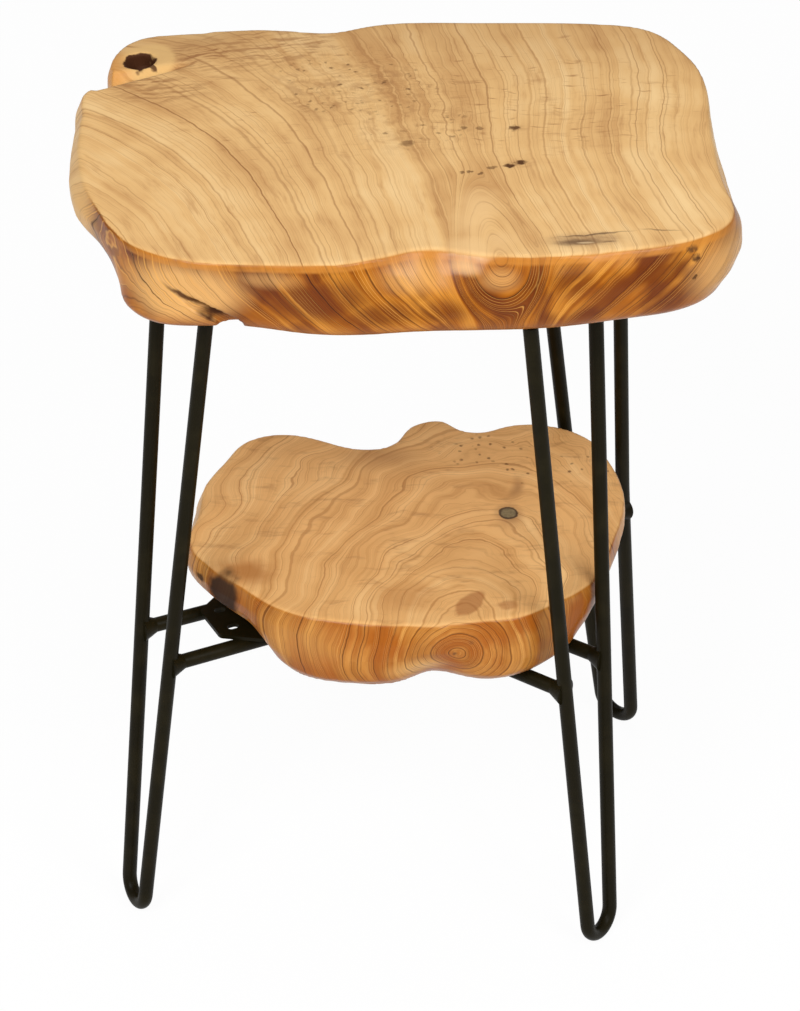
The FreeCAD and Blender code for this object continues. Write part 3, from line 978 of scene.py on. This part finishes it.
    def smoke(self, ground: Ground) -> Signal:
        """Return the smears that cross the rings, the burl's mottling, and a browner tone towards
        the back.

        Args:
            ground: The place in millimetres.

        Returns:
            The smears' strength.
        """
        stirred = ground.stirred(*self.smear_stir)
        smear = self.broad_smear.over(stirred).most(self.thin_smear.over(stirred))
        smear = smear * ground.spots(*self.figure)
        mottle = self.mottle.over(ground) * ground.spots(*self.burl)
        worn = stirred.spots(*self.smears) * self.worn.over(stirred)
        # Browner towards the back of the face.
        back = ground.parts()[1].rise(*self.back) * self.back_share
        return smear.most(mottle).most(worn).most(back).most(ground.spots(self.corner))

    def knots(self, ground: Ground, colour: Socket) -> Socket:
        """Return the colour with the knot's halo, the bump's nose and the grey check.

        Args:
            ground: The place in millimetres.
            colour: The wood's colour.

        Returns:
            The colour.
        """
        mix = ground.shader.mix
        bend, stirred = ground.stirred(*self.knot_stir), ground.stirred(*self.check_stir)
        colour = mix(bend.spots(self.halo), colour, self.halo_tone)
        colour = mix(bend.spots(self.orange), colour, self.orange_tone)
        colour = mix(bend.spots(*self.quiet), colour, self.quiet_tone)
        colour = mix(bend.spots(self.nose), colour, self.nose_tone)
        worn = stirred.boxed(self.grey_reach).noise(1.0).scaled(*self.grey_span)
        colour = mix(stirred.spots(self.grey) * worn, colour, self.grey_tone)
        colour = mix(stirred.spots(*self.checks), colour, self.check_tone)
        return mix(ground.spots(self.slit), colour, self.slit_tone)


class ShelfWood(LiveEdgeWood):
    """The shelf's wood, whose rings close round a pith on its front."""

    name = "shelf_wood_varnished"
    ring_spacing = 5.2
    line_width = 0.115
    levels = Levels(rim_shade=294.4, foot_shade=250.0)
    tones = WoodTones(
        face=(paint(240, 195, 132), paint(227, 176, 112), paint(202, 148, 86)),
        face_line=paint(150, 96, 46),
        streak=paint(178, 124, 66),
        edge=(paint(204, 142, 68), paint(172, 108, 40), paint(134, 76, 20)),
        edge_line=paint(66, 30, 6),
        edge_glint=paint(226, 172, 96),
        amber=paint(158, 84, 18),
        pale_and_highlight=paint(216, 166, 98),
        rim_shade=paint(206, 136, 52),
        under_and_foot_shade=paint(158, 100, 54),
        smoke=paint(152, 106, 62),
        mark=paint(96, 62, 38),
        bark=paint(50, 34, 24))
    leaf_tone = paint(158, 98, 52)
    stain_tone = paint(172, 112, 54)
    knot_tones = (paint(84, 70, 48), paint(160, 142, 102))
    knot_halo_tone = paint(134, 90, 52)
    knot_ring_tone = paint(58, 46, 36)
    pith = (42.0, -190.0, 272.0)
    pith_lean = 0.13
    pith_depth = 0.46
    pith_height = 1.1
    core = 12.0
    core_rings = 20.0
    broad_drift = 34.0
    broad_start = (12.0, 80.0)
    small_drift = 3.0
    # Where the painted shade band under the arris is drawn: along the front only.
    front_depth = (-120.0, -80.0)
    front_start = (-300.0, -200.0)
    front_share = 0.5
    smear = Cloud((26, 8, 22), (0.52, 0.78), 3.0, 0.6, strength=0.42)
    mark_stir = (4.0, 2.6)
    pips = Pips((1.4, 1.6, 3), 4.6, (0.08, 0.30), (0.2, 0.24), 0.75)
    knot_stir = (5.0, 2.6)
    flat_places = spot_table(
        (-162, -20, 290, 40, 80, 26, 0, 0.85, 0.7), (166, 10, 290, 36, 90, 26, 0, 0.7, 0.7))
    # Pale places on the live edge: partly paler wood, partly a painted highlight.
    pale_and_highlight_places = spot_table(
        (-60, -150, 276, 50, 60, 30, 0, 0.45, 0.9), (14, -172, 260, 28, 40, 12, 0, 0.85, 0.8))
    amber_places = spot_table(
        (42, -172, 272, 14, 40, 14, 0, 0.6, 0.9), (118, -130, 278, 34, 60, 26, 0, 0.8, 0.9),
        (-125, -126, 284, 26, 40, 18, 0, 0.8, 0.9))
    stains = spot_table(
        (89, 8, 297, 7, 24, 10, -8, 0.7, 1), (84, -36, 297, 16, 22, 10, 0, 0.4, 1),
        (-14, 50, 297, 48, 26, 10, 0, 0.42, 1))
    pip_places = spot_table(
        (66, 62, 297, 50, 34, 40, 0, 1), (98, 34, 297, 32, 26, 40, 0, 1, 0.4),
        (136, 38, 297, 36, 24, 40, 0, 1, 0.4))
    mark_places = spot_table(
        (42, -172, 272, 2.2, 30, 2.2, 0, 0.7, 0.8), (54, -166, 281, 5, 12, 3.6, 0, 0.7, 0.6))
    bark_patches = (
        Ragged(12, 9, spot_table(
            (-126, -114, 282, 18, 22, 20, 0, 0.95, 0.4), (-148, -98, 284, 5, 6, 5, 0, 0.85, 0.5))),)
    leaves = Ragged(14, 5, spot_table(
        (53, -147, 297, 9.5, 21, 10, -26, 0.62, 0.3), (81, -149, 297, 9, 8, 10, 20, 0.5, 0.5)))
    browned = Ragged(22, 16, spot_table(
        (-112, -108, 297, 32, 26, 16, -20, 0.85, 0.8), (6, -140, 297, 34, 30, 12, 0, 0.42, 0.8)))
    knot = Spot((83, -26, 297), (7.4, 8.8, 10))

    def rings(self, ground: Ground) -> tuple[Signal, Signal]:
        """Return the ring field of the shelf, which is the distance from its pith.

        Args:
            ground: The place in millimetres.

        Returns:
            The field, and a measure along the rings, in millimetres.
        """
        x, y, z = ground.parts()
        behind = y - self.pith[1]
        away_x = x - self.pith[0] - behind * self.pith_lean
        away_y = behind * self.pith_depth
        away_z = (z - self.pith[2]) * self.pith_height
        field = length(away_x, away_y, away_z)
        close = 1 - field.maths("EXPONENT", field / -self.core)
        broad = (ground.noise(60.0, 1.0) - 0.5) * self.broad_drift
        broad = broad * field.rise(*self.broad_start)
        small = (ground.noise(14.0) - 0.5) * self.small_drift
        along = away_y.maths("ARCTAN2", away_y + away_z, away_x) * 90.0
        return field + close * self.core_rings + broad + small, along

    def smoke(self, ground: Ground) -> Signal:
        """Return the mottling of the shelf's face and the stain behind its knot."""
        stirred = ground.stirred(*self.smear_stir)
        return self.smear.over(stirred).most(stirred.spots(*self.stains))

    def knots(self, ground: Ground, colour: Socket) -> Socket:
        """Return the colour with the grey knot and the reddish leaves of the shelf.

        Args:
            ground: The place in millimetres.
            colour: The wood's colour.

        Returns:
            The colour.
        """
        mix = ground.shader.mix
        colour = mix(self.leaves.over(ground), colour, self.leaf_tone)
        colour = mix(self.browned.over(ground), colour, self.stain_tone)
        stirred = ground.stirred(*self.knot_stir)
        away = self.knot.away(stirred)
        heart = mix(stirred.noise(2.4), *self.knot_tones)
        colour = mix(away.fall(1.0, 1.9) * 0.3, colour, self.knot_halo_tone)
        colour = mix(away.fall(0.90, 1.08) * 0.92, colour, self.knot_ring_tone)
        return mix(away.fall(0.62, 0.84) * 0.9, colour, heart)


# Metal

@dataclass(frozen=True)
class PowderCoat:
    """The satin black-brown powder coat of the steel legs."""

    name: str = "powder_coat_black"
    colour: Colour = paint(24, 20, 6)
    worn: Colour = paint(33, 28, 12)
    roughness: tuple[float, float] = (0.35, 0.50)
    specular: float = 0.08
    peel_depth: float = 0.05 * MM

    def write(self) -> bpy.types.Material:
        """Write the coat's shader.

        Returns:
            The material.
        """
        shader = Shader(self.name)
        ground = shader.place()
        cloud = ground.noise(24.0, 3.0)
        shader.give("Base Color", shader.mix(cloud.rise(0.4, 0.75), self.colour, self.worn))
        shader.give("Roughness", cloud.scaled(*self.roughness))
        shader.give("Normal", shader.bump(ground.noise(0.9), self.peel_depth))
        shader.give("Specular IOR Level", self.specular)
        return shader.material


@dataclass(frozen=True)
class BlackOxide:
    """The dark oiled finish of the steel screws."""

    name: str = "screw_oxide"
    colour: Colour = paint(58, 54, 50)
    rubbed: Colour = paint(96, 90, 82)
    roughness: tuple[float, float] = (0.24, 0.44)

    def write(self) -> bpy.types.Material:
        """Write the finish's shader.

        Returns:
            The material.
        """
        shader = Shader(self.name)
        cloud = shader.place().noise(2.5, 3.0)
        shader.give("Metallic", 1.0)
        shader.give("Base Color", shader.mix(cloud, self.colour, self.rubbed))
        shader.give("Roughness", cloud.scaled(*self.roughness))
        return shader.material


# Making

class Bench:
    """The few shop steps that every piece goes through."""

    weld = 0.00001

    @staticmethod
    def clear() -> None:
        """Leave nothing selected, in object mode."""
        if bpy.context.object is not None and bpy.context.object.mode != "OBJECT":
            bpy.ops.object.mode_set(mode="OBJECT")
        bpy.ops.object.select_all(action="DESELECT")

    @classmethod
    def take(cls, piece: Piece) -> None:
        """Select one piece alone and make it the active one."""
        cls.clear()
        piece.select_set(True)
        bpy.context.view_layer.objects.active = piece

    @staticmethod
    def place(name: str, data: Any) -> Piece:
        """Put new data into the scene as an object."""
        placed = bpy.data.objects.new(name, data)
        bpy.context.scene.collection.objects.link(placed)
        return placed

    @classmethod
    def copy_node(cls, node: str, name: str) -> Piece:
        """Return a copy of a CAD node's mesh as a new piece with its corners joined.

        Args:
            node: The CAD node's name.
            name: The new piece's name.

        Returns:
            The new piece.
        """
        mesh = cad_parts[node].data.copy()
        mesh.name = name
        mesh.materials.clear()
        piece = cls.place(name, mesh)
        cls.take(piece)
        bpy.ops.mesh.customdata_custom_splitnormals_clear()
        bpy.ops.object.mode_set(mode="EDIT")
        bpy.ops.mesh.select_all(action="SELECT")
        bpy.ops.mesh.remove_doubles(threshold=cls.weld)
        bpy.ops.object.mode_set(mode="OBJECT")
        return piece

    @classmethod
    def finish_modifier(cls, piece: Piece, kind: str,
                        settings: Mapping[str, Any]) -> None:
        """Add a modifier to a piece, set it and apply it.

        Args:
            piece: The piece.
            kind: The modifier's type.
            settings: The modifier's settings.
        """
        cls.take(piece)
        modifier = piece.modifiers.new(kind.lower(), kind)
        for name, value in settings.items():
            setattr(modifier, name, value)
        bpy.ops.object.modifier_apply(modifier=modifier.name)


@dataclass
class LiveEdgeSlab:
    """One slab with its bark edge, worked from the CAD's slab."""

    node: str
    name: str
    slot: str
    wood: LiveEdgeWood
    voxel: float = 2.2 * MM
    smoothing: int = 2
    ripple: float = 1.8 * MM
    ripple_grain: float = 0.03
    ripple_middle: float = 0.7
    flat_tilt: float = 0.9
    edge_tilt: float = 0.5
    edge_group: str = "live_edge"

    def build(self) -> Piece:
        """Build the slab's mesh.

        Returns:
            The piece.
        """
        piece = Bench.copy_node(self.node, self.name)
        Bench.finish_modifier(piece, "REMESH", {"mode": "VOXEL", "voxel_size": self.voxel,
                                                "use_smooth_shade": True})
        Bench.finish_modifier(piece, "SMOOTH", {"factor": 0.5, "iterations": self.smoothing})
        self.mark_edge(piece)
        self.ripple_edge(piece)
        Bench.take(piece)
        bpy.ops.object.shade_smooth()
        return piece

    def mark_edge(self, piece: Piece) -> None:
        """Give the piece a group that holds its live edge, strongest where it faces out.

        Args:
            piece: The slab.
        """
        normals = np.empty(len(piece.data.vertices) * 3)
        piece.data.vertices.foreach_get("normal", normals)
        tilt = np.abs(normals.reshape(-1, 3)[:, 2])
        weights = np.clip((self.flat_tilt - tilt) / (self.flat_tilt - self.edge_tilt), 0.0, 1.0)
        group = piece.vertex_groups.new(name=self.edge_group)
        for index in np.flatnonzero(weights):
            group.add([int(index)], float(weights[index]), "REPLACE")

    def ripple_edge(self, piece: Piece) -> None:
        """Press shallow ripples into the live edge.

        Args:
            piece: The slab.
        """
        cloud = bpy.data.textures.new(self.name + "_ripple", "CLOUDS")
        cloud.noise_scale = self.ripple_grain
        cloud.noise_depth = 1
        Bench.finish_modifier(piece, "DISPLACE", {
            "texture": cloud, "strength": self.ripple, "mid_level": self.ripple_middle,
            "texture_coords": "LOCAL", "vertex_group": self.edge_group})

    def dress(self, piece: Piece) -> None:
        """Give the slab its wood and put it in the CAD slab's place.

        Args:
            piece: The slab.
        """
        piece.data.materials.clear()
        piece.data.materials.append(self.wood.write())
        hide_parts(self.node)
        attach(piece, ROOT)
        log.info("%s: %d faces", piece.name, len(piece.data.polygons))


class Coats:
    """The finishes of the steel, written once and shared by the three legs."""

    def __init__(self) -> None:
        """Write the finishes."""
        self.powder = PowderCoat().write()
        self.oxide = BlackOxide().write()


@dataclass
class HairpinLeg:
    """One leg: its bent rod, two plates, two stretchers and screws."""

    leg: str
    coats: Coats

    def dress(self) -> None:
        """Coat the leg's steel and its screws."""
        leg, powder, oxide = self.leg, self.coats.powder, self.coats.oxide
        coated = {f"hairpin_rod_{leg}": powder, f"top_plate_{leg}": powder,
                  f"shelf_plate_{leg}": powder, f"stretcher_{leg}_right": powder,
                  f"stretcher_{leg}_left": powder, f"top_screws_{leg}": oxide,
                  f"shelf_screws_{leg}": oxide}
        for name, coat in coated.items():
            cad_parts[name].material_slots[0].material = coat
            log.info("%s: %s", name, coat.name)


# Studio

@dataclass(frozen=True)
class PhotoCamera:
    """The photograph's viewpoint, found from the legs and the two slabs."""

    aim: Place = (1.31, -28.5, 304.2)
    distance: float = 3062.431
    pitch: float = 0.57509
    roll: float = 0.00911
    lens: float = 145.18
    sensor: float = 36.0
    near: float = 0.05
    far: float = 60.0

    def set_up(self) -> None:
        """Make the camera and look through it."""
        data = bpy.data.cameras.new("photo_camera")
        data.lens = self.lens
        data.sensor_width = self.sensor
        data.sensor_fit = "AUTO"
        data.clip_start = self.near
        data.clip_end = self.far
        camera = Bench.place("photo_camera", data)
        ahead = Vector((0.0, math.cos(self.pitch), -math.sin(self.pitch)))
        right = Vector((1.0, 0.0, 0.0))
        above = Vector((0.0, math.sin(self.pitch), math.cos(self.pitch)))
        side = math.cos(self.roll) * right + math.sin(self.roll) * above
        top = math.cos(self.roll) * above - math.sin(self.roll) * right
        turn = Matrix((side, top, -ahead)).transposed().to_4x4()
        seat = (Vector(self.aim) - self.distance * ahead) * MM
        camera.matrix_world = Matrix.Translation(seat) @ turn
        bpy.context.scene.camera = camera


class Lamp(Enum):
    """The studio's soft lamps: place, size in metres, and power in watts."""

    KEY = ((-1.04, -2.22, 2.5), 1.1, 62.0)
    FILL = ((1.43, -2.05, 2.35), 1.2, 44.0)
    CROWN = ((0.1, 1.6, 2.6), 1.4, 10.0)

    def hang(self, aim: Place) -> None:
        """Hang the lamp.

        Args:
            aim: The place that it points at.
        """
        place, size, power = self.value
        data = bpy.data.lights.new(self.name.lower() + "_lamp", "AREA")
        data.shape = "SQUARE"
        data.size = size
        data.energy = power
        lamp = Bench.place(data.name, data)
        lamp.location = place
        way = Vector(aim) - Vector(place)
        lamp.rotation_euler = way.to_track_quat("-Z", "Y").to_euler()


@dataclass(frozen=True)
class Studio:
    """A plain pale floor in white light, with soft lamps."""

    floor_size: float = 14.0
    floor_colour: Colour = paint(248, 248, 248)
    floor_roughness: float = 0.9
    floor_glow: float = 0.95
    ambient: float = 0.36
    lamp_aim: Place = (0.0, 0.0, 0.45)

    def set_up(self) -> None:
        """Lay the floor, light the world and hang the lamps."""
        bpy.context.scene.view_settings.view_transform = "Standard"
        self.lay_floor()
        self.light_world()
        for lamp in Lamp:
            lamp.hang(self.lamp_aim)

    @staticmethod
    def seen(nodes: Nodes, *rays: str) -> Signal:
        """Return 1 for light of any of the rays' kinds, else 0.

        Args:
            nodes: The node tree.
            rays: The Light Path node's outputs.

        Returns:
            The 1 or 0.
        """
        path = nodes.node("ShaderNodeLightPath", {}, {})
        return reduce(Signal.most, (Signal(nodes, path.outputs[ray]) for ray in rays))

    def lay_floor(self) -> None:
        """Lay the pale floor, which glows white to the camera and keeps the shadow."""
        Bench.clear()
        bpy.ops.mesh.primitive_plane_add(size=self.floor_size, location=(0.0, 0.0, 0.0))
        floor = bpy.context.object
        floor.name = "studio_floor"
        shader = Shader("studio_floor")
        shader.give("Base Color", self.floor_colour)
        shader.give("Roughness", self.floor_roughness)
        seen = self.seen(shader, "Is Camera Ray", "Is Glossy Ray", "Is Transmission Ray")
        glow = shader.node("ShaderNodeEmission", {}, {"Strength": 1.0})
        blend = shader.node("ShaderNodeMixShader", {},
                            {0: seen * self.floor_glow, 1: shader.surface.outputs[0],
                             2: glow.outputs[0]})
        output = shader.tree.nodes["Material Output"]
        shader.feed(output.inputs["Surface"], blend.outputs[0])
        floor.data.materials.append(shader.material)

    def light_world(self) -> None:
        """Light the world evenly, and show it white to the camera."""
        world = bpy.data.worlds.new("studio_world")
        world.use_nodes = True
        bpy.context.scene.world = world
        nodes = Nodes(world.node_tree)
        ambient = nodes.tree.nodes["Background"]
        nodes.feed(ambient.inputs["Color"], WHITE)
        nodes.feed(ambient.inputs["Strength"], self.ambient)
        white = nodes.node("ShaderNodeBackground", {}, {"Color": WHITE})
        seen = self.seen(nodes, "Is Camera Ray", "Is Transmission Ray")
        blend = nodes.node("ShaderNodeMixShader", {},
                           {0: seen, 1: ambient.outputs[0], 2: white.outputs[0]})
        output = nodes.tree.nodes["World Output"]
        nodes.feed(output.inputs["Surface"], blend.outputs[0])


def clear_start_scene() -> None:
    """Remove what a new Blender file starts with."""
    for name in ("Cube", "Light", "Camera"):
        if name in bpy.data.objects:
            bpy.data.objects.remove(bpy.data.objects[name], do_unlink=True)


def main() -> None:
    """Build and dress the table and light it."""
    logging.basicConfig(level=logging.INFO, format="%(name)s: %(message)s")
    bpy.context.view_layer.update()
    clear_start_scene()
    PhotoCamera().set_up()
    Studio().set_up()
    slabs = (LiveEdgeSlab("tabletop_slab", "live_edge_top", "top_wood", TopWood()),
             LiveEdgeSlab("shelf_slab", "live_edge_shelf", "shelf_wood", ShelfWood(),
                          ripple=3.2 * MM, ripple_grain=0.036))
    for slab in slabs:
        slab.dress(slab.build())
    coats = Coats()
    for leg in LEGS:
        HairpinLeg(leg, coats).dress()


if __name__ == "__main__":
    main()
